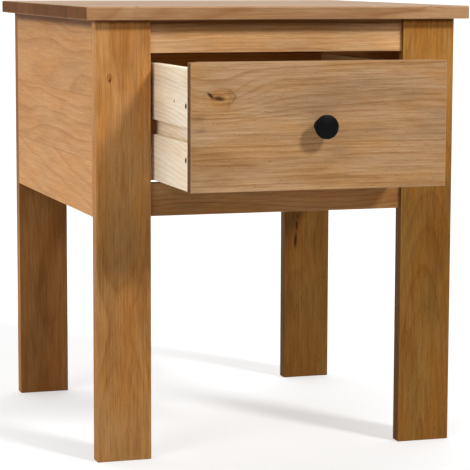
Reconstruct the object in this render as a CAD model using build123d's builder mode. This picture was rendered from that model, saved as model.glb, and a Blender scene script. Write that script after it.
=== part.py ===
from build123d import *

import os
from math import radians, tan

# A nightstand in solid pine: four plank legs, a thin top, aprons between the legs and one
# drawer that hangs on wooden runners. Millimetres. +X is to the right of a person facing the
# drawer, +Y is the back and +Z is up. The drawer is drawn part open. The origin is on the floor,
# in the middle of the box that the stand and its open drawer fill.

os.makedirs("parts", exist_ok=True)

# Stand
height = 550.0  # floor to the top's upper face
width = 460.0  # across the outer faces of the legs
depth = 460.0  # from the front of the front legs to the back of the back legs

# Top board
top_thickness = 16.0
top_overhang = 15.0
top_corner_radius = 4.0
top_edge_radius = 2.0

# Legs
leg_width = 68.0
leg_thickness = 18.0
edge_ease = 1.0  # rounding of long edges that a hand meets
foot_bevel = 1.0

# Aprons: the side panels between the legs, flush with their outer edges, and the back panel,
# which stands against the inside of the back legs. All are as deep as the whole front frame.
apron_height = 236.0
side_thickness = 16.0
back_thickness = 16.0
seam_bevel = 0.6  # breaks the edge where a panel meets a leg in one flush face

# Front rails, over and under the drawer
rail_height = 40.0
rail_thickness = 16.0
rail_recess = 5.0

# Guide rails, which close the gap between the legs on each side and carry the runners
guide_height = 50.0
guide_thickness = 18.0

# Wooden runners, which enter the grooves in the drawer's sides
runner_height = 16.5
runner_tip_gap = 0.8  # to the floor of the groove
runner_seat_gap = 0.3  # under the groove's upper wall, which rides on the runner
runner_stop_gap = 0.3  # to the drawer front when the drawer is shut
runner_back_gap = 3.0

# Drawer front: one board, rebated at both ends, so that a lip covers the ends of the sides
drawer_open = 149.0  # how far the drawer is drawn out
face_side_gap = 5.0
face_lower_gap = 3.0
face_upper_gap = 5.0
lip_thickness = 12.0
core_thickness = 13.0  # the part of the board between the drawer's sides

# Drawer box
wall_thickness = 12.0
wall_drop = 7.0  # below the drawer front's upper edge
wall_lift = 1.0  # above the drawer front's lower edge
box_end_gap = 16.0  # behind the box when the drawer is shut
groove_height = 18.0
groove_depth = 6.0
groove_rise = 55.0  # from the wall's lower edge to the groove
panel_thickness = 3.2
panel_groove_depth = 5.0
panel_rise = 8.0
panel_play = 0.2

# Knob, with a machine screw from inside the drawer
knob_radius = 14.0
knob_reach = 25.0
knob_head = 9.0
knob_rim = 3.0
knob_dome = 1.2
knob_base_radius = 8.5
knob_base = 2.0
knob_neck_radius = 5.5
knob_base_slope = 0.5  # steepness of the neck's curve where it leaves the base
knob_head_slope = 0.15  # and where it meets the head
knob_screw_radius = 2.0
knob_screw_bite = 10.0
knob_screw_head_radius = 4.0
knob_screw_head = 2.4

# Fixings
small_dowel_radius = 3.0
large_dowel_radius = 4.0
small_dowel_grip = 14.0  # length in each of the two pieces
large_dowel_face_grip = 11.0  # length in the thin way of a leg or of the back panel
large_dowel_end_grip = 17.0  # length in the end of a side panel or guide rail
dowel_gap = 0.1
dowel_bevel = 0.8
hole_end_gap = 1.0  # air past the end of a dowel, screw or brad
rail_dowel_inset = 10.0  # from a rail's upper and lower edges
panel_dowel_inset = 30.0
guide_dowel_inset = 12.0

screw_radius = 1.75
screw_head_radius = 3.5
screw_cone = 90.0  # degrees across the countersunk head
screw_point = 5.0
screw_gap = 0.1
screw_skin = 4.0  # wood left beyond the point
runner_screw_inset = 45.0
drawer_screw_length = 30.0
lower_screw_rise = 35.0  # from the drawer wall's lower edge
upper_screw_rise = 97.0

block_size = 28.0  # the blocks in the corners, which hold the top down
block_bevel = 8.0
block_screw_inset = 9.0

brad_radius = 0.8
brad_head_radius = 1.5
brad_head = 0.8
brad_length = 18.0
brad_inset = 40.0

# Planes and lines that several pieces share
leg_length = height - top_thickness
half_width = width / 2
opening_half = half_width - leg_width
apron_bottom = leg_length - apron_height
lower_rail_top = apron_bottom + rail_height
upper_rail_bottom = leg_length - rail_height

front = (drawer_open + knob_reach - depth - top_overhang) / 2
back = front + depth
front_leg_back = front + leg_thickness
back_leg_front = back - leg_thickness
rail_front = front + rail_recess
back_panel_front = back_leg_front - back_thickness
side_inner = half_width - side_thickness
guide_inner = opening_half
guide_outer = guide_inner + guide_thickness

face_half = opening_half - face_side_gap
face_bottom = lower_rail_top + face_lower_gap
face_top = upper_rail_bottom - face_upper_gap
face_front = front - drawer_open
lip_back = face_front + lip_thickness
core_back = lip_back + core_thickness
wall_outer = face_half
wall_inner = wall_outer - wall_thickness
wall_bottom = face_bottom + wall_lift
wall_top = face_top - wall_drop
box_back = back_panel_front - box_end_gap - drawer_open
groove_bottom = wall_bottom + groove_rise
groove_top = groove_bottom + groove_height
groove_floor = wall_outer - groove_depth
panel_slot_bottom = wall_bottom + panel_rise
panel_slot_height = panel_thickness + 2 * panel_play
panel_slot_top = panel_slot_bottom + panel_slot_height

runner_top = groove_top - runner_seat_gap
runner_bottom = runner_top - runner_height
runner_inner = groove_floor + runner_tip_gap
runner_front = front + lip_thickness + runner_stop_gap
runner_back = back_panel_front - runner_back_gap
runner_middle = (runner_top + runner_bottom) / 2
guide_bottom = runner_middle - guide_height / 2
guide_top = guide_bottom + guide_height

hands = ((-1, "left"), (1, "right"))


def save(piece, name):
    """Label a finished piece and write it to its own STEP file."""
    piece.label = name
    export_step(piece, f"parts/{name}.step")


def board(x_range, y_range, z_range):
    """A plain board between two limits along each axis."""
    with BuildPart() as plain:
        with BuildSketch(Plane.XY.offset(z_range[0])):
            with Locations(((x_range[0] + x_range[1]) / 2, (y_range[0] + y_range[1]) / 2)):
                Rectangle(abs(x_range[1] - x_range[0]), y_range[1] - y_range[0])
        extrude(amount=z_range[1] - z_range[0])
    return plain.part


def towards(side):
    """The axis that runs outwards on one side of the stand."""
    return Axis((0, 0, 0), (side, 0, 0))


def blind_holes(mouths, radius, hole_depth):
    """Blind holes that go in behind each mouth plane."""
    with Locations(*mouths):
        Hole(radius, hole_depth)


def sunk_holes(mouths, hole_depth):
    """Clearance holes for countersunk screws, right through a piece of this thickness."""
    with Locations(*mouths):
        CounterSinkHole(screw_radius + screw_gap, screw_head_radius + screw_gap, hole_depth, screw_cone)


def pilot_holes(mouths, screw_length, near_thickness):
    """Holes for the rest of each screw, in the piece behind the one that its head pulls on."""
    starts = [mouth.offset(-near_thickness) for mouth in mouths]
    blind_holes(starts, screw_radius + screw_gap, screw_length - near_thickness + hole_end_gap)


def wood_screws(mouths, length):
    """Countersunk screws, each with its head flush with a mouth plane."""
    head_depth = (screw_head_radius - screw_radius) / tan(radians(screw_cone / 2))
    with BuildPart() as screw:
        with BuildSketch(Plane.XZ):
            with BuildLine():
                Polyline(
                    (0, 0),
                    (screw_head_radius, 0),
                    (screw_radius, -head_depth),
                    (screw_radius, screw_point - length),
                    (0, -length),
                    close=True,
                )
            make_face()
        revolve(axis=Axis.Z)
    with BuildPart() as group:
        with Locations(*mouths):
            add(screw.part)
    return group.part


def dowels(mouths, radius, grip_behind, grip_ahead):
    """Bevelled dowels that cross each mouth plane, with a little air at both ends."""
    length = grip_behind + grip_ahead - 2 * hole_end_gap
    with BuildPart() as dowel:
        with BuildSketch(Plane.XY.offset(hole_end_gap - grip_behind)):
            Circle(radius)
        extrude(amount=length)
        chamfer(dowel.edges().filter_by(GeomType.CIRCLE), dowel_bevel)
    with BuildPart() as group:
        with Locations(*mouths):
            add(dowel.part)
    return group.part


# Where the dowels go. Each plane lies on a face that two pieces share, and looks away from the
# leg or the back panel that holds the first half of the dowel.

rails = {"lower_rail": apron_bottom, "upper_rail": upper_rail_bottom}
rail_dowel_y = (rail_front + front_leg_back) / 2
rail_dowel_heights = [
    bottom + rise
    for bottom in rails.values()
    for rise in (rail_dowel_inset, rail_height - rail_dowel_inset)
]
low_dowel = apron_bottom + panel_dowel_inset
high_dowel = leg_length - panel_dowel_inset
panel_dowel_heights = (low_dowel, (low_dowel + high_dowel) / 2, high_dowel)
guide_dowel_heights = (guide_bottom + guide_dowel_inset, guide_top - guide_dowel_inset)
leg_middle = half_width - leg_width / 2
side_middle = half_width - side_thickness / 2
guide_middle = (guide_inner + guide_outer) / 2

# What a side panel or a guide rail meets at each end, and which way that face looks along Y
leg_faces = {"front": (front_leg_back, 1), "back": (back_leg_front, -1)}
inner_faces = {"front": (front_leg_back, 1), "back": (back_panel_front, -1)}


def face_dowels(x, face, outwards, heights):
    """Dowels in a face that looks along Y."""
    return [Plane(origin=(x, face, z), z_dir=(0, outwards, 0)) for z in heights]


def rail_mouths(side):
    """Dowels between a front leg's inner edge and the ends of both front rails."""
    edge = side * opening_half
    return [
        Plane(origin=(edge, rail_dowel_y, z), z_dir=(-side, 0, 0)) for z in rail_dowel_heights
    ]


def side_mouths(side, end):
    """Dowels between a leg and the end of a side panel."""
    return face_dowels(side * side_middle, *leg_faces[end], panel_dowel_heights)


def guide_mouths(side, end):
    """Dowels between a front leg or the back panel and the end of a guide rail."""
    return face_dowels(side * guide_middle, *inner_faces[end], guide_dowel_heights)


def back_mouths(side):
    """Dowels between a back leg and the back panel."""
    return face_dowels(side * leg_middle, *leg_faces["back"], panel_dowel_heights)


# Where the blocks and their screws go: one block in each corner under the top, with a screw
# up into the top and a screw out into the side panel.

block_bottom = leg_length - block_size
block_inner = side_inner - block_size
top_screw_length = block_size + top_thickness - screw_skin
side_screw_length = block_size + side_thickness - screw_skin
top_screw_mouths = []
side_screw_mouths = {-1: [], 1: []}
for side, hand in hands:
    for face, inwards in inner_faces.values():
        near_y = face + inwards * block_screw_inset
        far_y = face + inwards * (block_size - block_screw_inset)
        middle_x = side * (side_inner - block_size / 2)
        middle_z = leg_length - block_size / 2
        top_screw_mouths.append(Plane(origin=(middle_x, near_y, block_bottom), z_dir=(0, 0, -1)))
        side_screw_mouths[side].append(
            Plane(origin=(side * block_inner, far_y, middle_z), z_dir=(-side, 0, 0))
        )

# Where the screws that hold the runners and the drawer's corners go
runner_screw_ys = (
    runner_front + runner_screw_inset,
    (runner_front + runner_back) / 2,
    runner_back - runner_screw_inset,
)
runner_width = guide_inner - runner_inner
runner_screw_length = runner_width + guide_thickness - screw_skin
runner_mouths = {
    side: [
        Plane(origin=(side * runner_inner, y, runner_middle), z_dir=(-side, 0, 0))
        for y in runner_screw_ys
    ]
    for side, hand in hands
}
drawer_back_front = box_back - wall_thickness
corner_heights = (wall_bottom + lower_screw_rise, wall_bottom + upper_screw_rise)
front_corner_y = lip_back + core_thickness / 2
rear_corner_y = box_back - wall_thickness / 2
corner_mouths = {
    side: [
        Plane(origin=(side * wall_outer, y, z), z_dir=(side, 0, 0))
        for y in (front_corner_y, rear_corner_y)
        for z in corner_heights
    ]
    for side, hand in hands
}
panel_bottom = panel_slot_bottom + panel_play
brad_xs = (brad_inset - wall_inner, 0, wall_inner - brad_inset)
brad_mouths = [Plane(origin=(x, rear_corner_y, panel_bottom), z_dir=(0, 0, -1)) for x in brad_xs]
foot_of = (Align.CENTER, Align.CENTER, Align.MIN)  # stands out of a mouth plane
head_of = (Align.CENTER, Align.CENTER, Align.MAX)  # goes in behind a mouth plane

# Top board

with BuildPart() as top_board:
    with BuildSketch(Plane.XY.offset(leg_length)):
        with Locations((0, (front + back) / 2)):
            RectangleRounded(width + 2 * top_overhang, depth + 2 * top_overhang, top_corner_radius)
    extrude(amount=top_thickness)
    fillet(top_board.faces().sort_by(Axis.Z)[-1].edges(), top_edge_radius)
    chamfer(top_board.faces().sort_by(Axis.Z)[0].edges(), seam_bevel)
    pilot_holes(top_screw_mouths, top_screw_length, block_size)
save(top_board.part, "top_board")

# Legs: planks with their wide faces to the front and back


def plank_leg(side, leg_front):
    """A leg with eased edges and a bevelled foot, before its joints are cut."""
    with BuildPart() as plank:
        with BuildSketch(Plane.XY):
            with Locations((side * (half_width - leg_width / 2), leg_front + leg_thickness / 2)):
                RectangleRounded(leg_width, leg_thickness, edge_ease)
        extrude(amount=leg_length)
        chamfer(plank.faces().sort_by(Axis.Z)[0].edges(), foot_bevel)
    return plank.part


for side, hand in hands:
    with BuildPart() as front_leg:
        add(plank_leg(side, front))
        blind_holes(rail_mouths(side), small_dowel_radius + dowel_gap, small_dowel_grip)
        blind_holes(
            side_mouths(side, "front") + guide_mouths(side, "front"),
            large_dowel_radius + dowel_gap,
            large_dowel_face_grip,
        )
    save(front_leg.part, f"front_leg_{hand}")

    with BuildPart() as back_leg:
        add(plank_leg(side, back_leg_front))
        blind_holes(
            side_mouths(side, "back") + back_mouths(side),
            large_dowel_radius + dowel_gap,
            large_dowel_face_grip,
        )
    save(back_leg.part, f"back_leg_{hand}")

# Front rails

for name, rail_bottom in rails.items():
    with BuildPart() as rail:
        add(
            board(
                (-opening_half, opening_half),
                (rail_front, rail_front + rail_thickness),
                (rail_bottom, rail_bottom + rail_height),
            )
        )
        chamfer(rail.faces().sort_by(Axis.Y)[0].edges().filter_by(Axis.X), seam_bevel)
        for side, hand in hands:
            ends = [
                -mouth
                for mouth in rail_mouths(side)
                if 0 < mouth.origin.Z - rail_bottom < rail_height
            ]
            blind_holes(ends, small_dowel_radius + dowel_gap, small_dowel_grip)
    save(rail.part, name)

# Side panels, flush with the outer edges of the legs

for side, hand in hands:
    with BuildPart() as side_panel:
        add(
            board(
                (side * side_inner, side * half_width),
                (front_leg_back, back_leg_front),
                (apron_bottom, leg_length),
            )
        )
        outer_face = side_panel.faces().sort_by(towards(side))[-1]
        chamfer(outer_face.edges().filter_by(Axis.Z), seam_bevel)
        for end in leg_faces:
            ends = [-mouth for mouth in side_mouths(side, end)]
            blind_holes(ends, large_dowel_radius + dowel_gap, large_dowel_end_grip)
        pilot_holes(side_screw_mouths[side], side_screw_length, block_size)
    save(side_panel.part, f"side_panel_{hand}")

# Back panel, between the side panels and against the back legs

with BuildPart() as back_panel:
    add(
        board(
            (-side_inner, side_inner),
            (back_panel_front, back_leg_front),
            (apron_bottom, leg_length),
        )
    )
    chamfer(back_panel.faces().sort_by(Axis.Z)[0].edges().filter_by(Axis.X), seam_bevel)
    for side, hand in hands:
        blind_holes(
            [-mouth for mouth in back_mouths(side)] + guide_mouths(side, "back"),
            large_dowel_radius + dowel_gap,
            large_dowel_face_grip,
        )
save(back_panel.part, "back_panel")

# Guide rails and runners

for side, hand in hands:
    with BuildPart() as guide_rail:
        add(
            board(
                (side * guide_inner, side * guide_outer),
                (front_leg_back, back_panel_front),
                (guide_bottom, guide_top),
            )
        )
        for end in inner_faces:
            ends = [-mouth for mouth in guide_mouths(side, end)]
            blind_holes(ends, large_dowel_radius + dowel_gap, large_dowel_end_grip)
        pilot_holes(runner_mouths[side], runner_screw_length, runner_width)
    save(guide_rail.part, f"guide_rail_{hand}")

    with BuildPart() as runner:
        add(
            board(
                (side * runner_inner, side * guide_inner),
                (runner_front, runner_back),
                (runner_bottom, runner_top),
            )
        )
        nose = runner.faces().sort_by(Axis.Y)[0].edges()
        chamfer(nose.sort_by(towards(side))[0], seam_bevel)
        sunk_holes(runner_mouths[side], runner_width)
    save(runner.part, f"drawer_runner_{hand}")

# Corner blocks

with BuildPart() as corner_blocks:
    for side, hand in hands:
        for face, inwards in inner_faces.values():
            far_face = face + inwards * block_size
            add(
                board(
                    (side * block_inner, side * side_inner),
                    sorted((face, far_face)),
                    (block_bottom, leg_length),
                )
            )
            corner = corner_blocks.edges().filter_by(Axis.Z)
            corner = corner.sort_by_distance((side * block_inner, far_face, leg_length))[0]
            chamfer(corner, block_bevel)
    sunk_holes(top_screw_mouths, block_size)
    for mouths in side_screw_mouths.values():
        sunk_holes(mouths, block_size)
save(corner_blocks.part, "corner_blocks")

# Dowels and screws of the stand

save(
    dowels(
        rail_mouths(-1) + rail_mouths(1),
        small_dowel_radius,
        small_dowel_grip,
        small_dowel_grip,
    ),
    "rail_dowels",
)
save(
    dowels(
        [mouth for side, hand in hands for end in leg_faces for mouth in side_mouths(side, end)],
        large_dowel_radius,
        large_dowel_face_grip,
        large_dowel_end_grip,
    ),
    "side_dowels",
)
save(
    dowels(
        [mouth for side, hand in hands for end in inner_faces for mouth in guide_mouths(side, end)],
        large_dowel_radius,
        large_dowel_face_grip,
        large_dowel_end_grip,
    ),
    "guide_dowels",
)
save(
    dowels(
        back_mouths(-1) + back_mouths(1),
        large_dowel_radius,
        large_dowel_face_grip,
        large_dowel_face_grip,
    ),
    "back_dowels",
)

with BuildPart() as block_screws:
    add(wood_screws(top_screw_mouths, top_screw_length))
    add(wood_screws(side_screw_mouths[-1] + side_screw_mouths[1], side_screw_length))
save(block_screws.part, "block_screws")

save(wood_screws(runner_mouths[-1] + runner_mouths[1], runner_screw_length), "runner_screws")

# Drawer front

front_thickness = lip_thickness + core_thickness
face_middle = (face_bottom + face_top) / 2
knob_seat = Plane(origin=(0, face_front, face_middle), z_dir=(0, -1, 0))
with BuildPart() as drawer_front:
    with BuildSketch(Plane.XY.offset(face_bottom)):
        with Locations((0, (face_front + lip_back) / 2)):
            Rectangle(2 * face_half, lip_thickness)
        with Locations((0, (lip_back + core_back) / 2)):
            Rectangle(2 * wall_inner, core_thickness)
    extrude(amount=face_top - face_bottom)
    fillet(drawer_front.faces().sort_by(Axis.Y)[0].edges(), edge_ease)
    slot_middle = core_back - panel_groove_depth / 2
    with BuildSketch(Plane.XY.offset(panel_slot_bottom)):
        with Locations((0, slot_middle)):
            Rectangle(2 * wall_inner, panel_groove_depth)
    extrude(amount=panel_slot_height, mode=Mode.SUBTRACT)
    blind_holes([knob_seat], knob_screw_radius + screw_gap, front_thickness)
    for side, hand in hands:
        ends = [mouth for mouth in corner_mouths[side] if mouth.origin.Y < core_back]
        pilot_holes(ends, drawer_screw_length, wall_thickness)
save(drawer_front.part, "drawer_front")

# Drawer sides: one section with both grooves, run the length of the box

for side, hand in hands:
    with BuildPart() as drawer_side:
        with BuildSketch(Plane.XZ.offset(-lip_back)):
            with BuildLine():
                Polyline(
                    (side * wall_inner, wall_bottom),
                    (side * wall_outer, wall_bottom),
                    (side * wall_outer, groove_bottom),
                    (side * groove_floor, groove_bottom),
                    (side * groove_floor, groove_top),
                    (side * wall_outer, groove_top),
                    (side * wall_outer, wall_top),
                    (side * wall_inner, wall_top),
                    (side * wall_inner, panel_slot_top),
                    (side * (wall_inner + panel_groove_depth), panel_slot_top),
                    (side * (wall_inner + panel_groove_depth), panel_slot_bottom),
                    (side * wall_inner, panel_slot_bottom),
                    close=True,
                )
            make_face()
        extrude(amount=lip_back - box_back)
        upper_edges = drawer_side.faces().sort_by(Axis.Z)[-1].edges().filter_by(Axis.Y)
        fillet(upper_edges, edge_ease)
        sunk_holes(corner_mouths[side], wall_thickness)
    save(drawer_side.part, f"drawer_side_{hand}")

# Drawer back, which stands on the bottom panel

with BuildPart() as drawer_back:
    add(
        board(
            (-wall_inner, wall_inner),
            (drawer_back_front, box_back),
            (panel_slot_top, wall_top),
        )
    )
    for side, hand in hands:
        ends = [mouth for mouth in corner_mouths[side] if mouth.origin.Y > drawer_back_front]
        pilot_holes(ends, drawer_screw_length, wall_thickness)
    blind_holes(brad_mouths, brad_radius + screw_gap, brad_length + hole_end_gap)
save(drawer_back.part, "drawer_back")

# Drawer bottom, slid into the grooves from behind and tacked to the back

panel_edge = wall_inner + panel_groove_depth - panel_play
with BuildPart() as drawer_bottom:
    add(
        board(
            (-panel_edge, panel_edge),
            (core_back - panel_groove_depth + panel_play, box_back),
            (panel_bottom, panel_bottom + panel_thickness),
        )
    )
    blind_holes(brad_mouths, brad_radius + screw_gap, panel_thickness)
save(drawer_bottom.part, "drawer_bottom")

with BuildPart() as bottom_brads:
    with Locations(*brad_mouths):
        Cylinder(brad_head_radius, brad_head, align=foot_of)
        Cylinder(brad_radius, brad_length, align=head_of)
save(bottom_brads.part, "bottom_brads")

save(wood_screws(corner_mouths[-1] + corner_mouths[1], drawer_screw_length), "drawer_screws")

# Knob, turned about the line through the middle of the drawer front

knob_axis = Axis((0, face_front, face_middle), (0, -1, 0))
head_back = knob_reach - knob_head
head_front = knob_reach - knob_dome
crown_radius = knob_radius - knob_rim
dome_radius = (crown_radius**2 + knob_dome**2) / (2 * knob_dome)
with BuildPart() as drawer_knob:
    with BuildSketch(Plane(origin=(0, face_front, face_middle), x_dir=(1, 0, 0), z_dir=(0, 0, 1))):
        with BuildLine():
            Polyline((0, -knob_reach), (0, 0), (knob_base_radius, 0), (knob_base_radius, -knob_base))
            Spline(
                (knob_base_radius, -knob_base),
                (knob_neck_radius, -(knob_base + head_back) / 2),
                (crown_radius, -head_back),
                tangents=((-1, -knob_base_slope), (1, -knob_head_slope)),
            )
            RadiusArc((crown_radius, -head_back), (knob_radius, -(head_back + knob_rim)), knob_rim)
            Line((knob_radius, -(head_back + knob_rim)), (knob_radius, knob_rim - head_front))
            RadiusArc((knob_radius, knob_rim - head_front), (crown_radius, -head_front), knob_rim)
            RadiusArc((crown_radius, -head_front), (0, -knob_reach), dome_radius)
        make_face()
    revolve(axis=knob_axis)
    blind_holes([-knob_seat], knob_screw_radius + screw_gap, knob_screw_bite + hole_end_gap)
save(drawer_knob.part, "drawer_knob")

with BuildPart() as knob_screw:
    with Locations(Plane(origin=(0, core_back, face_middle), z_dir=(0, 1, 0))):
        Cylinder(knob_screw_head_radius, knob_screw_head, align=foot_of)
        Cylinder(knob_screw_radius, front_thickness + knob_screw_bite, align=head_of)
    rim = knob_screw.faces().sort_by(Axis.Y)[-1].edges()
    fillet(rim, knob_screw_head / 2)
save(knob_screw.part, "knob_screw")
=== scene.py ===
import math

import bpy
import numpy as np
from mathutils import Matrix, Vector


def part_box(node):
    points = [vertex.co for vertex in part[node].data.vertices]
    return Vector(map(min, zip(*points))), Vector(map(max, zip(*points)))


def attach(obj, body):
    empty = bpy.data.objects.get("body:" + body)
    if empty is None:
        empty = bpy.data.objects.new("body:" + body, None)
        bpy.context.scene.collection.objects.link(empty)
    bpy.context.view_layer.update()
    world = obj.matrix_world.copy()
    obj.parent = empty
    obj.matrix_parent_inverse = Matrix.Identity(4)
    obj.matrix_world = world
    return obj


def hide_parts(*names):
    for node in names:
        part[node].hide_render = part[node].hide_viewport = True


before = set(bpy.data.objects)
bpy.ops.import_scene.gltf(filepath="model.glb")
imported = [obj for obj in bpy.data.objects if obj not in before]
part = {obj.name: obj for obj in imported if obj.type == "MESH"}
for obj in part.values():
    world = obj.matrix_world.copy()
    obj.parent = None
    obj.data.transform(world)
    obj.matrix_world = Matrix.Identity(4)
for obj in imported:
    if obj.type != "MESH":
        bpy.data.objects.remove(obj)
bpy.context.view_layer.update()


# ---------------------------------------------------------------------------------------------
# Legs: four planks of pine, ripped from flat-sawn boards with the grain upright, so that their
# wide faces show tall arches. They are sanded, stained honey brown and waxed after assembly.
# ---------------------------------------------------------------------------------------------


class Wire:
    """A number in a tree of nodes. Each operation on it adds one Math node."""

    def __init__(self, tree, socket):
        self.tree = tree
        self.socket = socket

    def work(self, operation, *others):
        terms = dict(enumerate((self, *others)))
        return self.tree.node("Math", {"operation": operation}, terms)

    def __add__(self, other):
        return self.work("ADD", other)

    def __sub__(self, other):
        return self.work("SUBTRACT", other)

    def __rsub__(self, other):
        return self.tree.node("Math", {"operation": "SUBTRACT"}, {0: other, 1: self})

    def __mul__(self, other):
        return self.work("MULTIPLY", other)

    def __truediv__(self, other):
        return self.work("DIVIDE", other)

    def __pow__(self, other):
        return self.work("POWER", other)

    def __abs__(self):
        return self.work("ABSOLUTE")

    __radd__ = __add__
    __rmul__ = __mul__

    def least(self, other):
        return self.work("MINIMUM", other)

    def most(self, other):
        return self.work("MAXIMUM", other)


class Tree:
    """A tree of shader nodes. Its node method adds any node, and gives an output as a Wire."""

    def __init__(self, data):
        self.data = data

    def node(self, kind, settings=None, inputs=None, output=0):
        """Add a node of a kind, with its settings, then the values or Wires of its inputs. A ramp's
        stops are rows of (place, grey) from 0 to 1, where a new ramp has its first and last."""
        made = self.data.nodes.new("ShaderNode" + kind)
        for name, value in (settings or {}).items():
            if name == "stops":
                stops = made.color_ramp.elements
                for place, grey in value[1:-1]:
                    stops.new(place)
                for stop, (place, grey) in zip(stops, value):
                    stop.position = place
                    stop.color = (grey, grey, grey, 1)
            else:
                setattr(made, name, value)
        for name, value in (inputs or {}).items():
            self.feed(made.inputs[name], value)
        return Wire(self, made.outputs[output])

    def feed(self, socket, value):
        """Link a Wire to a socket, or set the socket to a number or a colour."""
        if isinstance(value, Wire):
            self.data.links.new(value.socket, socket)
        else:
            socket.default_value = value

    def step(self, value, low, high):
        """0 up to low, 1 from high, and a smooth rise between them."""
        sides = {"Value": value, "From Min": low, "From Max": high}
        return self.node("MapRange", {"interpolation_type": "SMOOTHSTEP"}, sides)

    def mix(self, share, first, second, blend="MIX"):
        """Two colours mixed by share."""
        look = {"data_type": "RGBA", "blend_type": blend, "clamp_factor": True}
        return self.node("Mix", look, {0: share, 6: first, 7: second}, output=2)

    def shade(self, colour, share, tone):
        """A colour multiplied by a tone of three factors, as far as share says."""
        return self.mix(share, colour, self.mix(1.0, colour, (*tone, 1), "MULTIPLY"))

    def scaled(self, vector, factors, step=(0, 0, 0)):
        """vector * factors + step, each way by itself."""
        terms = {0: vector, 1: factors, 2: step}
        return self.node("VectorMath", {"operation": "MULTIPLY_ADD"}, terms)

    def noise(self, vector, detail, roughness, output=0):
        """Clouds of about one unit across. Output 0 is a number and output 1 is a colour."""
        inputs = {"Vector": vector, "Scale": 1.0, "Detail": detail, "Roughness": roughness}
        return self.node("TexNoise", {}, inputs, output)

    def parts(self, vector):
        """The three numbers of a vector or a colour."""
        split = self.node("SeparateXYZ", {}, {0: vector})
        return [Wire(self, output) for output in split.socket.node.outputs]


class Finish(Tree):
    """The nodes of one material, with its shader."""

    def __init__(self, name):
        self.material = bpy.data.materials.new(name)
        self.material.use_nodes = True
        super().__init__(self.material.node_tree)
        self.shader = self.data.nodes["Principled BSDF"]

    def give(self, name, value):
        """Feed one of the shader's sockets."""
        self.feed(self.shader.inputs[name], value)


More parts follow.
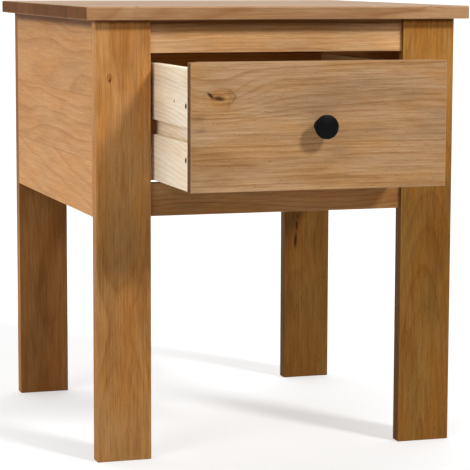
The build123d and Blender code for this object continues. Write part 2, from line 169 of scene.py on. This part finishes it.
class Board(Finish):
    """The material of one board, worked out in millimetres from the board's middle.

    axes gives its long way, its wide way and its thickness. seed picks the board: it moves the
    pattern of every noise. joints are the places across a glued-up panel where one stave ends
    and the next begins: each stave has three chances of its own, which move its pattern too.
    """

    def __init__(self, name, node, axes, seed, joints):
        super().__init__(name)
        low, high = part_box(node)
        self.middle = (low + high) / 2
        self.halves = (high - low) * 500
        self.seed = seed
        spot = self.node("TexCoord", output=3)
        centred = self.scaled(spot, (1000, 1000, 1000), tuple(self.middle * -1000))
        self.ways = dict(zip("xyz", self.parts(centred)))
        self.along, self.wide, self.deep = (self.ways[axis] for axis in axes)

        own = self.node("CombineXYZ", {}, {0: self.along, 1: self.wide, 2: self.deep})
        self.own = self.scaled(own, (1, 1, 1), (seed * 531, seed * 97, seed * 61))
        self.chance = (0.5, 0.5, 0.5)
        if joints:
            stave = sum(self.wide.work("GREATER_THAN", joint) for joint in joints)
            one_way = {"noise_dimensions": "1D"}
            dice = self.node("TexWhiteNoise", one_way, {"W": stave + seed * 7}, output=1)
            self.chance = self.parts(dice)
            self.own = self.scaled(dice, (900, 700, 500), self.own)

        self.drift = self.parts(self.grain(0.005, 0.01, 1.0, 0.4, output=1))
        self.waver = self.parts(self.grain(0.015, 0.07, 2.0, 0.5, output=1))
        self.streak = self.grain(0.012, 0.5, 4.0, 0.7)

    def grain(self, along, across, detail, roughness, step=(0, 0, 0), output=0):
        """Noise drawn out along the board: its clouds are 1 / along and 1 / across long."""
        stretched = self.scaled(self.own, (along, across, across), step)
        return self.noise(stretched, detail, roughness, output)

    def from_pith(self, pith, lean, bow, sway):
        """How far a point lies from the pith: the square root of across² + inward², which are the
        point's place less the pith's. Slow noise moves the pith by sway, and quick noise a
        little more. The bow is depth * way² / (way² + width²), with way the distance along the
        board from its place."""
        across = self.wide - self.along * lean[0] - pith[0]
        across = across + (self.drift[1] - 0.5) * sway + (self.waver[1] - 0.5) * 4
        across = across + (self.chance[0] - 0.5) * 180
        inward = self.deep - self.along * lean[1] - pith[1]
        inward = inward + (self.drift[2] - 0.5) * sway + (self.waver[2] - 0.5) * 3
        inward = inward + (self.chance[1] - 0.5) * 30
        place, depth, width = bow
        way = self.along - place
        inward = inward + way * way * depth / (way * way + width ** 2)
        return (across * across + inward * inward) ** 0.5

    def knot_marks(self, reach, knots):
        """Swell the rings round each knot, and mark its dark heart, its broken rim of bark with
        ripples inside, and the warm halo round it. A knot is an ellipse, longer along the board:
        close is how far a point lies from its middle, with 1 at its edge."""
        heart = rim = halo = 0.0
        for place, height, radius, darkness in knots:
            side = self.along - place + (self.waver[0] - 0.5) * radius
            rise = self.wide - height + (self.waver[1] - 0.5) * radius
            span = (side * side / 5.0 + rise * rise) / radius ** 2
            reach = reach + (span * -0.2).work("EXPONENT") * radius * 1.7
            close = (side * side / 2.2 + rise * rise) ** 0.5 / radius
            heart = (1 - self.step(close, 0.8, 1.1)) * darkness + heart
            ripple = (close * 11.0).work("SINE") * 0.5 + 0.5
            close = close + (self.streak - 0.5) * 0.35
            ripple = ripple * (1 - self.step(close, 0.8, 1.5)) * self.step(self.streak, 0.2, 0.6)
            bark = self.step(close, 0.8, 0.97) * (1 - self.step(close, 0.98, 1.16))
            broken = self.step(self.waver[2] + side * 0.02, 0.35, 0.6)
            rim = bark * broken + ripple * 0.55 + rim
            halo = (1 - self.step(close, 0.7, 1.2)) + halo
        return reach, heart, rim, halo

    def split_marks(self, splits):
        """Slanting cracks, each an ellipse whose edge wavers: close is 1 at its edge."""
        gap = 0.0
        for place, height, slant, length, width, depth in splits:
            side = self.along - place
            rise = self.wide - height
            run = (side * math.cos(slant) + rise * math.sin(slant)) / length
            fall = rise * math.cos(slant) - side * math.sin(slant)
            fall = (fall + (self.waver[2] - 0.5) * width * 2) / width
            close = (run * run + fall * fall) ** 0.5
            gap = (1 - self.step(close, 0.25, 1.15)) * depth + gap
        return gap

    def late_wood(self, reach, ring):
        """The dark bands of the rings. A ring is pale for its first third, then darkens slowly
        and ends at once, and some years are darker than others."""
        count = reach / ring + (self.drift[0] - 0.5) * 1.5
        profile = [(0.0, 0.1), (0.3, 0.0), (0.65, 0.4), (0.86, 1.0), (1.0, 0.1)]
        band = self.node("ValToRGB", {"stops": profile}, {0: count.work("FRACT")})
        year = {"W": count.work("FLOOR") + self.seed}
        harsh = self.node("TexWhiteNoise", {"noise_dimensions": "1D"}, year)
        return band * (harsh * 0.75 + 0.25)


def tint(red, green, blue):
    """A colour given as it looks on a screen, 0 to 255, turned to the linear light of a shader."""
    looks = np.array([red, green, blue]) / 255
    linear = np.where(looks < 0.04045, looks / 12.92, ((looks + 0.055) / 1.055) ** 2.4)
    return (*linear.tolist(), 1.0)


def dress(node, material):
    """Give a CAD piece its material."""
    part[node].data.materials.clear()
    part[node].data.materials.append(material)


# What each mark multiplies the colour of the pale wood by
tones = {
    "warm cloud": (1.0, 0.84, 0.6),
    "dull cloud": (0.68, 0.65, 0.62),
    "other stave": (0.74, 0.72, 0.7),
    "glue line": (0.4, 0.34, 0.28),
    "saw mark": (0.6, 0.48, 0.42),
    "painted shadow under top": (0.26, 0.19, 0.12),
    "late wood": (0.68, 0.5, 0.32),
    "streak": (0.64, 0.56, 0.46),
    "fibre": (0.62, 0.54, 0.45),
    "resin duct": (0.42, 0.33, 0.26),
    "knot halo": (1.05, 0.86, 0.56),
    "knot heart": (0.3, 0.22, 0.16),
    "bark": (0.5, 0.35, 0.22),
    "split": (0.14, 0.09, 0.06),
}


def wooden(node, axes, body, pith, ring=5.0, lean=(0.0, 0.0), bow=(0.0, 0.0, 1.0), sway=16.0,
           seed=0.0, joints=(), knots=(), splits=(), figure=1.0, streaks=1.0, blotches=1.0,
           painted_shade_band=(), painted_shadow_under_top=0.0, hatch=0.0, end_tone=(0.62, 0.64, 0.7), painted_side_light=1.0,
           sheen=0.03, rough=0.5, kind="pine"):
    """Dress a CAD piece in solid wood. Places are in millimetres from the middle of the piece.

    The growth rings are cylinders round the pith, a line behind the board: a point's ring is its
    distance from that line divided by the width of a ring, ring. pith says where the line passes
    the middle of the board, across and in depth. lean tilts it, so that the wide face cuts the
    rings in arches, and noise sways it. bow is a place along the board, a depth and a width: the
    line comes nearer to the face by that depth on both sides of the place.

    body is the colour of the pale wood. Over the rings lie warm and dull clouds where the stain
    took, streaks, fibres and short dark resin ducts: figure, blotches and streaks say how strong
    the rings, the clouds and the rest are. axes, seed and joints are those of a Board.

    A knot is (place along, place across, radius, darkness of its heart), and a split is (place
    along, place across, slant in radians, half its length, half its width, darkness).
    heartwood is (place along, reach, darkness) and paints shade: below that place, or above it
    where the reach is negative, the wood is painted darker, and the change takes the reach.
    gathered is the height of a painted shadow, a dark line close under the top board. hatch is
    the strength of the slanting saw marks on the front edge. end_tone is how the stain takes on
    the end grain, and painted_side_light paints light and shade on the narrow sides: over 1 they
    are lighter, under 1 darker. sheen is the strength of the wax, and rough the roughness of the
    wood under it.
    kind names the wood.
    """
    board = Board(f"{node}_{kind}", node, axes, seed, joints)
    reach, heart, rim, halo = board.knot_marks(board.from_pith(pith, lean, bow, sway), knots)
    summer = board.late_wood(reach, ring)
    gap = board.split_marks(splits)
    streak = board.streak
    warmth = board.grain(0.009, 0.035, 3.0, 0.55)
    dullness = board.grain(0.007, 0.03, 3.0, 0.6, step=(9.0, 4.0, 2.0))
    fibre = board.grain(0.045, 1.9, 3.0, 0.7)
    duct = board.grain(0.16, 1.5, 1.0, 0.5)
    up = board.ways["z"]

    clouds = board.step(warmth, 0.38, 0.66) * 0.8 * blotches
    colour = board.shade(body, clouds, tones["warm cloud"])
    if joints:
        colour = board.shade(colour, board.chance[2] * 0.7, tones["other stave"])
    for joint in joints:
        seam = 1 - board.step(abs(board.wide - joint), 0.1, 0.5)
        colour = board.shade(colour, seam * 0.6, tones["glue line"])
    if hatch:
        tooth, slant = 3.8, 0.9
        phase = (board.ways["x"] - up * slant) * (2 * math.pi / tooth)
        marks = (phase + (board.waver[0] - 0.5) * 4).work("SINE") * 0.5 + 0.5
        edge = board.halves.y
        marks = marks * board.step(board.ways["y"] * -1, edge - 4, edge - 2)
        marks = marks * board.step(warmth, 0.3, 0.6)
        colour = board.shade(colour, marks * hatch, tones["saw mark"])
    # Painted shade: the board is darker below a place along it, or above it where the reach is
    # negative.
    if painted_shade_band:
        turn, change, darkness = painted_shade_band
        outside_painted_shade = board.along + (dullness - 0.5) * 200 + (warmth - 0.5) * 160
        outside_painted_shade = board.step(outside_painted_shade, turn - change, turn + change)
        colour = board.shade(colour, 1 - outside_painted_shade, (darkness, darkness, darkness * 0.95))
    # Painted shadow: a dark line close under the top board, where the top shades the parts below
    # it.
    if painted_shadow_under_top:
        under = (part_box("top_board")[0].z - board.middle.z) * 1000
        line = board.step(up + (streak - 0.5) * 3, under - painted_shadow_under_top, under - painted_shadow_under_top * 0.35)
        colour = board.shade(colour, line * 0.95, tones["painted shadow under top"])
    clouds = board.step(dullness, 0.42, 0.7) * 0.7 * blotches
    colour = board.shade(colour, clouds, tones["dull cloud"])
    colour = board.shade(colour, summer * 0.75 * figure, tones["late wood"])
    colour = board.shade(colour, board.step(streak, 0.34, 0.7) * 0.5 * streaks, tones["streak"])
    colour = board.shade(colour, board.step(fibre, 0.4, 0.68) * 0.5 * streaks, tones["fibre"])
    ducts = board.step(duct, 0.68, 0.76) * 0.7 * streaks
    colour = board.shade(colour, ducts, tones["resin duct"])
    if knots:
        colour = board.shade(colour, halo.least(1.0) * 0.6, tones["knot halo"])
        colour = board.shade(colour, heart.least(1.0), tones["knot heart"])
        colour = board.shade(colour, rim.least(1.0) * 0.6, tones["bark"])
    if splits:
        colour = board.shade(colour, gap.least(1.0), tones["split"])

    facing = dict(zip("xyz", board.parts(board.node("TexCoord", output=1))))
    end = board.step(abs(facing[axes[0]]), 0.6, 0.8)
    colour = board.shade(colour, end, end_tone)
    # Painted light and shade: painted_side_light makes the narrow sides lighter over 1 and darker
    # under 1.
    if painted_side_light != 1.0:
        side = board.step(abs(facing[axes[1]]), 0.6, 0.8)
        colour = board.shade(colour, side, (painted_side_light, painted_side_light, painted_side_light))

    # Along the edges the colour goes back towards the pale wood, a painted highlight on the eased
    # edges, and the worn wax makes them a little rougher. Of a point's distances to the nearest
    # face each way, the middle one is small only near an edge.
    near = [half - abs(way) for half, way in zip(board.halves, board.ways.values())]
    from_edge = near[0].least(near[1]).most(near[0].most(near[1]).least(near[2]))
    highlight_and_wear = (1 - board.step(from_edge, 0.3, 2.4)) * board.step(streak, 0.3, 0.6)
    board.give("Base Color", board.mix(highlight_and_wear * 0.3, colour, body))
    dullest = rough - summer * 0.06 + (warmth - 0.5) * 0.15
    board.give("Roughness", dullest + end * 0.15 + highlight_and_wear * 0.05)
    board.give("Specular IOR Level", 0.015)
    if sheen:
        board.give("Coat Weight", (1 - end) * sheen)
        board.give("Coat Roughness", 0.3)
    height = summer * 0.3 + streak * 0.5 + fibre * 0.4
    if splits:
        height = height - gap * 1.5
    relief = {"Height": height, "Strength": 0.3, "Distance": 0.00025}
    board.give("Normal", board.node("Bump", {}, relief))
    dress(node, board.material)


# Painted light and shade on the legs: heartwood darkens the front legs below the drawer as the
# drawer's painted shadow, and the upper part of the left back leg as painted shade under the stand.
# painted_side_light lightens the narrow sides of the left legs as painted light from the left, and
# darkens those of the right front leg as painted shade. The back legs' colours are darker than the
# front legs' as painted shade under the stand, and gathered paints the shadow line under the top
# board.
legs = {
    "front_leg_left": dict(
        body=tint(182, 136, 85), pith=(-5, 30), bow=(-103, 22, 90), seed=1.0,
        knots=[(198, -17, 3.0, 0.25)], splits=[(195, -16, 0.15, 4.5, 1.2, 0.9)],
        painted_shade_band=(60, 90, 0.68), painted_side_light=1.5),
    "front_leg_right": dict(
        body=tint(164, 119, 61), pith=(2, 32), lean=(0.03, 0.14), seed=2.0,
        painted_shade_band=(110, 90, 0.58), painted_side_light=0.7),
    "back_leg_left": dict(
        body=tint(145, 103, 60), pith=(14, 40), lean=(0.02, -0.04), seed=3.0,
        painted_shade_band=(-50, -60, 0.75), painted_side_light=1.9),
    "back_leg_right": dict(
        body=tint(117, 84, 41), pith=(-16, 30), bow=(-70, 18, 80), seed=4.0,
        splits=[(-65, -16, 0.04, 14, 3.2, 0.9), (-43, -15, -0.08, 10, 2.4, 0.75),
                (-30, -14, 0.1, 5, 2.0, 0.5)]),
}
for leg, look in legs.items():
    wooden(leg, "zxy", ring=7.0, figure=0.6, streaks=1.3, painted_shadow_under_top=6, **look)


# ---------------------------------------------------------------------------------------------
# Front rails: straight-grained pine with the grain across the stand, doweled between the legs
# and set back a little from their faces.
# ---------------------------------------------------------------------------------------------

rails = {
    "upper_rail": dict(body=tint(212, 172, 127), pith=(-60, 45), lean=(0.02, 0.01), seed=5.0),
    "lower_rail": dict(body=tint(146, 112, 76), pith=(55, 50), lean=(-0.02, 0.0), seed=6.0),
}
# gathered paints the shadow line under the top board on the rails.
for rail, look in rails.items():
    wooden(rail, "xzy", ring=4.5, painted_shadow_under_top=11, **look)


# ---------------------------------------------------------------------------------------------
# Side panels: wide boards with the grain front to back, glued up from three staves and lighter
# than the legs. They are set flush with the legs' outer edges and doweled to them.
# ---------------------------------------------------------------------------------------------

panels = {
    "side_panel_left": dict(lean=(0.06, 0.045), seed=7.0, knots=[(182, 13, 1.2, 0.9)]),
    "side_panel_right": dict(lean=(-0.03, -0.05), seed=8.0, knots=[(-90, -12, 5.0, 0.5)]),
}
# gathered paints the shadow line under the top board on the panels.
for panel, look in panels.items():
    wooden(panel, "yzx", tint(218, 165, 110), pith=(-20, 60), ring=9.0, sway=22.0,
           joints=(-51, 26), figure=0.7, streaks=0.8, blotches=0.5, painted_shadow_under_top=13, **look)


# ---------------------------------------------------------------------------------------------
# Back panel: one wide board with its grain across, glued up from three staves and doweled
# against the inside of the back legs.
# ---------------------------------------------------------------------------------------------

# Its colour is darkened as painted shade inside the stand.
wooden("back_panel", "xzy", tint(154, 98, 44), pith=(-30, 60), lean=(0.03, 0.06), ring=8.0,
       sway=26.0, joints=(-38, 40), seed=9.0)


# ---------------------------------------------------------------------------------------------
# Guide rails and runners: plain strips of stained pine behind the legs. The runners are screwed
# to the guide rails, and the grooves of the drawer slide on them.
# ---------------------------------------------------------------------------------------------

brown = tint(170, 118, 70)
for hand, seed in (("left", 10.0), ("right", 11.0)):
    wooden("guide_rail_" + hand, "yzx", brown, pith=(-20, 50), lean=(0.01, 0.02), seed=seed)
    wooden("drawer_runner_" + hand, "yzx", brown, pith=(-30, 30), lean=(0.01, 0.0), ring=3.0,
           seed=seed + 5)


# ---------------------------------------------------------------------------------------------
# Corner blocks: short blocks of bare pine with their inner corner cut off. Each is screwed up
# into the top and out into a side panel.
# ---------------------------------------------------------------------------------------------

# Wood that was never stained or waxed
bare = dict(blotches=0.5, sheen=0.0, rough=0.65, end_tone=(0.8, 0.78, 0.76))
wooden("corner_blocks", "zxy", tint(232, 206, 166), pith=(300, 200), ring=3.5, seed=20.0, **bare)


# ---------------------------------------------------------------------------------------------
# Dowels: plain beech pins with bevelled ends, glued into a hole in each of the two pieces that
# they join, at the ends of the front rails, the panels and the guide rails.
# ---------------------------------------------------------------------------------------------

for node in ("rail_dowels", "side_dowels", "guide_dowels", "back_dowels"):
    wooden(node, "xyz", tint(214, 170, 124), pith=(300, 200), ring=2.0, seed=21.0, figure=0.4,
           kind="beech", **bare)


# ---------------------------------------------------------------------------------------------
# Steel: zinc-plated wood screws with crossed slots hold the corner blocks and the runners, and
# brown ones the corners of the drawer. The knob's screw and the brads are zinc-plated too.
# ---------------------------------------------------------------------------------------------


def turned(name, outline, places, dent=None, steps=64):
    """Closed surfaces turned on a lathe, the same one at each place.

    outline is rows of (radius, height) in millimetres, from the outer end of the axis to the
    inner end, with radius 0 at both. Each row between them becomes a ring of equal steps:
    radius * cos(angle), radius * sin(angle), height. dent gives, from the two ways across the
    axis, how far the flat outer end is pressed in. A place is a point in metres and the way that
    the axis looks there; the ring's first way is up, or backwards where the axis is upright.
    """
    radius, height = np.array(outline, dtype=float).T
    angle = np.arange(steps) * 2 * math.pi / steps
    first = np.outer(radius[1:-1], np.cos(angle))
    second = np.outer(radius[1:-1], np.sin(angle))
    level = np.outer(height[1:-1], np.ones(steps))
    rings = np.stack([first, second, level], axis=-1).reshape(-1, 3)
    shape = np.vstack([(0, 0, height[0]), rings, (0, 0, height[-1])])
    if dent:
        flat = shape[:, 2] > height[0] - 0.2
        shape[flat, 2] -= dent(shape[flat, 0], shape[flat, 1])

    here = 1 + np.arange(len(rings)).reshape(-1, steps)
    after = np.roll(here, -1, axis=1)
    walls = np.stack([here[:-1], here[1:], after[1:], after[:-1]], axis=-1).reshape(-1, 4)
    tip = np.stack([np.zeros(steps, int), here[0], after[0]], axis=-1)
    foot = np.stack([here[-1], np.full(steps, len(shape) - 1), after[-1]], axis=-1)

    points, faces = [], []
    for number, (origin, looks) in enumerate(places):
        looks = Vector(looks)
        across = Vector((0, 1, 0)) if abs(looks.z) > 0.5 else Vector((0, 0, 1))
        ways = np.array([across, looks.cross(across), looks])
        points.append(np.array(origin) + shape @ ways / 1000)
        for group in (walls, tip, foot):
            faces += (group + number * len(shape)).tolist()
    mesh = bpy.data.meshes.new(name)
    mesh.from_pydata(np.vstack(points).tolist(), [], faces)
    mesh.shade_smooth()
    made = bpy.data.objects.new(name, mesh)
    bpy.context.scene.collection.objects.link(made)
    return made


def crossed_slot(first, second):
    """How deep the cross in a screw's head is, in millimetres.

    A point is in an arm where the larger of its way along the arm over the arm's length and its
    way across over half the arm's width is under 1.1, and the walls slope inwards from there.
    The floor rises from its deepest point, in the middle, by half of the way from it.
    """
    arm, half_width, depth, slope = 1.9, 0.5, 1.4, 0.25
    one = np.maximum(abs(first) / arm, abs(second) / half_width)
    other = np.maximum(abs(second) / arm, abs(first) / half_width)
    inside = np.clip((1.1 - np.minimum(one, other)) / slope, 0, 1)
    return inside * (depth - 0.5 * np.hypot(first, second))


def wood_screws(node, body, length, places, material):
    """Countersunk screws in place of the plain ones of a CAD node: a flat head, then a cone down
    to the shank, which ends in a sharp point. The places are those of their heads."""
    head, shank, point = 3.5, 1.75, 5.0
    outline = [(radius, 0) for radius in np.linspace(0, head - 0.3, 33)]
    outline += [(head - 0.15, -0.03), (head - 0.05, -0.12), (head, -0.25)]
    outline += [(shank + 0.15, -1.8), (shank, -2.0), (shank, -2.4), (shank, point + 0.4 - length)]
    outline += [(shank - 0.03, point - length), (0.3, 0.6 - length), (0, -length)]
    screws = turned(node + "_crossed", outline, places, crossed_slot)
    screws.data.materials.append(material)
    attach(screws, body)
    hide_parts(node)


def steel(name, colour, rough):
    """Plated steel, dulled by grime."""
    finish = Finish(name)
    spot = finish.node("TexCoord", output=3)
    grime = finish.noise(finish.scaled(spot, (900, 900, 900)), 3.0, 0.6)
    finish.give("Base Color", finish.mix(grime * 0.4, colour, tint(20, 14, 10)))
    finish.give("Roughness", grime * 0.3 + (rough - 0.15))
    finish.give("Metallic", 1.0)
    return finish.material


zinc = steel("zinc_steel", tint(190, 190, 186), 0.4)
browned = steel("brown_steel", tint(86, 60, 40), 0.45)
dress("knob_screw", zinc)
dress("bottom_brads", zinc)

low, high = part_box("corner_blocks")
block, inset = 0.028, 0.009
upward = [((side * (high.x - block / 2), y, low.z), (0, 0, -1))
          for side in (-1, 1) for y in (low.y + inset, high.y - inset)]
outward = [((side * (high.x - block), y, (low.z + high.z) / 2), (-side, 0, 0))
           for side in (-1, 1) for y in (low.y + block - inset, high.y - block + inset)]
wood_screws("block_screws", "stand", 40.0, upward + outward, zinc)

low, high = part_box("drawer_runner_right")
inset = 0.045
outward = [((side * low.x, y, (low.z + high.z) / 2), (-side, 0, 0))
           for side in (-1, 1) for y in (low.y + inset, (low.y + high.y) / 2, high.y - inset)]
wood_screws("runner_screws", "stand", 24.2, outward, zinc)

low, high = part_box("drawer_side_right")
into_front = (low.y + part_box("drawer_front")[1].y) / 2
into_back = high.y - (high.x - low.x) / 2
inward = [((side * high.x, y, low.z + rise), (side, 0, 0))
          for side in (-1, 1) for y in (into_front, into_back) for rise in (0.035, 0.097)]
wood_screws("drawer_screws", "drawer", 30.0, inward, browned)


# ---------------------------------------------------------------------------------------------
# Top board: thin pine with the grain across the stand, glued up from five staves. Its upper
# edge is rounded, its front edge keeps the marks of the saw, and its end grain is open.
# ---------------------------------------------------------------------------------------------

wooden("top_board", "xyz", tint(175, 138, 99), pith=(-10, 50), lean=(0.03, 0.1), ring=7.0,
       sway=22.0, seed=12.0, joints=(-152, -55, 40, 143), hatch=0.5, blotches=0.7, sheen=0.4,
       end_tone=(0.54, 0.42, 0.36),
       knots=[(-183, -243, 1.6, 0.9), (192, -243, 1.6, 0.9), (90, 60, 6.0, 0.5)])


# ---------------------------------------------------------------------------------------------
# Drawer box: bare pine. The back is browner and darker than the sides as painted shade inside the
# drawer. The sides are grooved for the runners and for the bottom, which is thin plywood, and the
# back stands on the bottom.
# ---------------------------------------------------------------------------------------------

cream = tint(252, 240, 220)
wooden("drawer_side_left", "yzx", cream, pith=(-90, 40), lean=(0.06, 0.03), seed=13.0,
       knots=[(-145, 30, 1.8, 0.6)], streaks=0.4, figure=0.65, **bare)
wooden("drawer_side_right", "yzx", cream, pith=(20, 45), lean=(-0.06, 0.03), seed=14.0,
       streaks=0.35, **bare)
# The back's colour is darker and browner than the sides' as painted shade inside the drawer.
wooden("drawer_back", "xzy", tint(188, 140, 88), pith=(-30, 50), lean=(0.02, 0.03), seed=15.0,
       streaks=0.35, **bare)
wooden("drawer_bottom", "xyz", tint(232, 204, 160), pith=(0, 50), lean=(0.02, 0.2), ring=12.0,
       seed=16.0, streaks=0.7, kind="plywood", **bare)


# ---------------------------------------------------------------------------------------------
# Drawer front: one thick board, rebated at both ends over the sides, with the grain across. It
# has a live knot near its left end, split in the middle.
# ---------------------------------------------------------------------------------------------

wooden("drawer_front", "xzy", tint(167, 136, 103), pith=(-120, 60), lean=(0.03, 0.02), ring=6.0,
       seed=17.0, blotches=0.9, streaks=1.2, end_tone=(0.5, 0.46, 0.46),
       knots=[(-122, 34, 11, 0.0)],
       splits=[(-133.5, 37, -0.77, 6, 2.4, 0.95), (-123.5, 33, -0.13, 9.5, 3.8, 0.9),
               (-148, 10, 0.05, 12, 3, 0.28), (-147, -3, -0.1, 13, 3.5, 0.28)])


# ---------------------------------------------------------------------------------------------
# Knob: a turned mushroom knob with a slightly domed face, painted satin black, and held by a
# machine screw from inside the drawer.
# ---------------------------------------------------------------------------------------------


def arc(centre, radius, start, end, count):
    """Points on a circle: centre + radius * (cos(angle), sin(angle)), with angles in degrees."""
    angle = np.radians(np.linspace(start, end, count))
    ring = np.stack([np.cos(angle), np.sin(angle)], axis=-1)
    return np.array(centre) + radius * ring


def sweep(start, leaving, end, arriving, count):
    """Points on the cubic curve that leaves one point along a vector and reaches another along
    a second vector: (1 + 2t)(1 - t)² start + t(1 - t)² leaving + t²(3 - 2t) end +
    t²(t - 1) arriving, with t from 0 to 1."""
    t = np.linspace(0, 1, count)[:, None]
    first = (1 + 2 * t) * (1 - t) ** 2 * np.array(start) + t * (1 - t) ** 2 * np.array(leaving)
    return first + t ** 2 * (3 - 2 * t) * np.array(end) + t ** 2 * (t - 1) * np.array(arriving)


reach, dome = 25.0, 1.2  # how far the knob stands out, and how much of that is its domed face
crown, rim = 11.0, 3.0  # radius of the face, and of the rounding outside it
shoulder, waist = 16.0, 9.0  # heights of the head's back and of the narrowest part of the neck
neck, foot = 5.5, 8.5  # radii
bore, bore_depth = 2.1, 11.0  # the screw's hole
ball = (crown ** 2 + dome ** 2) / (2 * dome)
half_face = math.degrees(math.asin(crown / ball))
knob_outline = np.vstack([
    arc((0, reach - ball), ball, 90, 90 - half_face, 24),
    arc((crown, reach - dome - rim), rim, 90, 0, 16)[1:],
    arc((crown, shoulder + rim), rim, 0, -90, 16),
    sweep((crown, shoulder), (-10.4, -1.6), (neck, waist), (-0.6, -14.6), 24)[1:],
    sweep((neck, waist), (-0.4, -9.5), (foot, 2), (8.8, -4.4), 24)[1:],
    [(foot, 1.8), (foot, 0.3), (foot - 0.08, 0.08), (foot - 0.3, 0), (bore + 0.2, 0)],
    [(bore, 0.2), (bore, bore_depth - 0.2), (bore - 0.1, bore_depth), (0, bore_depth)],
])
low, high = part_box("drawer_knob")
seat = (0, high.y, (low.z + high.z) / 2)
knob = turned("round_knob", knob_outline, [(seat, (0, -1, 0))], steps=128)

paint = Finish("black_paint")
spot = paint.node("TexCoord", output=3)
dust = paint.noise(paint.scaled(spot, (1400, 1400, 1400)), 3.0, 0.5)
paint.give("Base Color", paint.mix(dust, tint(2, 2, 3), tint(6, 6, 8)))
paint.give("Roughness", dust * 0.12 + 0.4)
paint.give("Specular IOR Level", 0.08)
knob.data.materials.append(paint.material)
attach(knob, "drawer")
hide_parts("drawer_knob")


# ---------------------------------------------------------------------------------------------
# Studio: a white floor, lit a little from below, in front of a bright white wall. One soft
# light stands on the right in front, another on the left, and a large one is overhead.
# ---------------------------------------------------------------------------------------------

scene = bpy.context.scene
scene.view_settings.view_transform = "Standard"

half_floor = 40.0
corners = [(x * half_floor, y * half_floor, 0) for x, y in ((-1, -1), (1, -1), (1, 1), (-1, 1))]
floor_mesh = bpy.data.meshes.new("floor")
floor_mesh.from_pydata(corners, [], [(0, 1, 2, 3)])
floor = bpy.data.objects.new("floor", floor_mesh)
scene.collection.objects.link(floor)
pale = Finish("pale_floor")
pale.give("Base Color", (0.4, 0.4, 0.4, 1))
pale.give("Emission Color", (1, 1, 1, 1))
pale.give("Emission Strength", 0.5)
pale.give("Roughness", 0.9)
floor_mesh.materials.append(pale.material)

world = bpy.data.worlds.new("studio")
world.use_nodes = True
room = Tree(world.node_tree)
backwards = room.parts(room.node("TexCoord"))[1]
fade = {"Value": backwards, "From Min": -0.1, "From Max": 0.7, "To Min": 0.06, "To Max": 0.9}
wall = world.node_tree.nodes["Background"]
room.feed(wall.inputs["Strength"], room.node("MapRange", {}, fade))
room.feed(wall.inputs["Color"], (1, 1, 1, 1))
scene.world = world


def soft_light(name, turn, height, strength, spread):
    """A distant soft light. turn is how far round to the right of the front it stands, and
    height is its angle over the floor, in degrees."""
    light = bpy.data.lights.new(name, "SUN")
    light.energy = strength
    light.angle = math.radians(spread)
    holder = bpy.data.objects.new(name, light)
    scene.collection.objects.link(holder)
    holder.rotation_euler = (math.radians(90 - height), 0, math.radians(turn))


soft_light("right_light", 29, 36, 2.9, 10)
soft_light("left_light", -50, 40, 1.1, 30)
soft_light("top_light", 180, 70, 1.7, 50)


# ---------------------------------------------------------------------------------------------
# Camera: in front and to the left, a little over the top board, with a long lens. It looks down
# a little, and leans over by a fraction of a degree.
# ---------------------------------------------------------------------------------------------

stand_middle = (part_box("front_leg_left")[0].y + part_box("back_leg_left")[1].y) / 2
distance, eye_height, aim = 2.780, 0.593, 0.018
turn, tilt, roll = np.radians((-17.45, 7.19, 0.176)).tolist()
down = Vector((0, 0, -1))
eye = Vector((math.sin(turn) * distance, stand_middle - math.cos(turn) * distance, eye_height))
ahead = (Vector((aim, stand_middle, eye_height)) - eye).normalized()
right = down.cross(ahead).normalized()
look = ahead * math.cos(tilt) + down * math.sin(tilt)
right = right * math.cos(roll) + right.cross(look) * math.sin(roll)
up = right.cross(look)
camera = bpy.data.cameras.new("camera")
camera.sensor_width = 36
camera.lens = 160.9
holder = bpy.data.objects.new("camera", camera)
scene.collection.objects.link(holder)
holder.matrix_world = Matrix.Translation(eye) @ Matrix((right, up, -look)).transposed().to_4x4()
scene.camera = holder
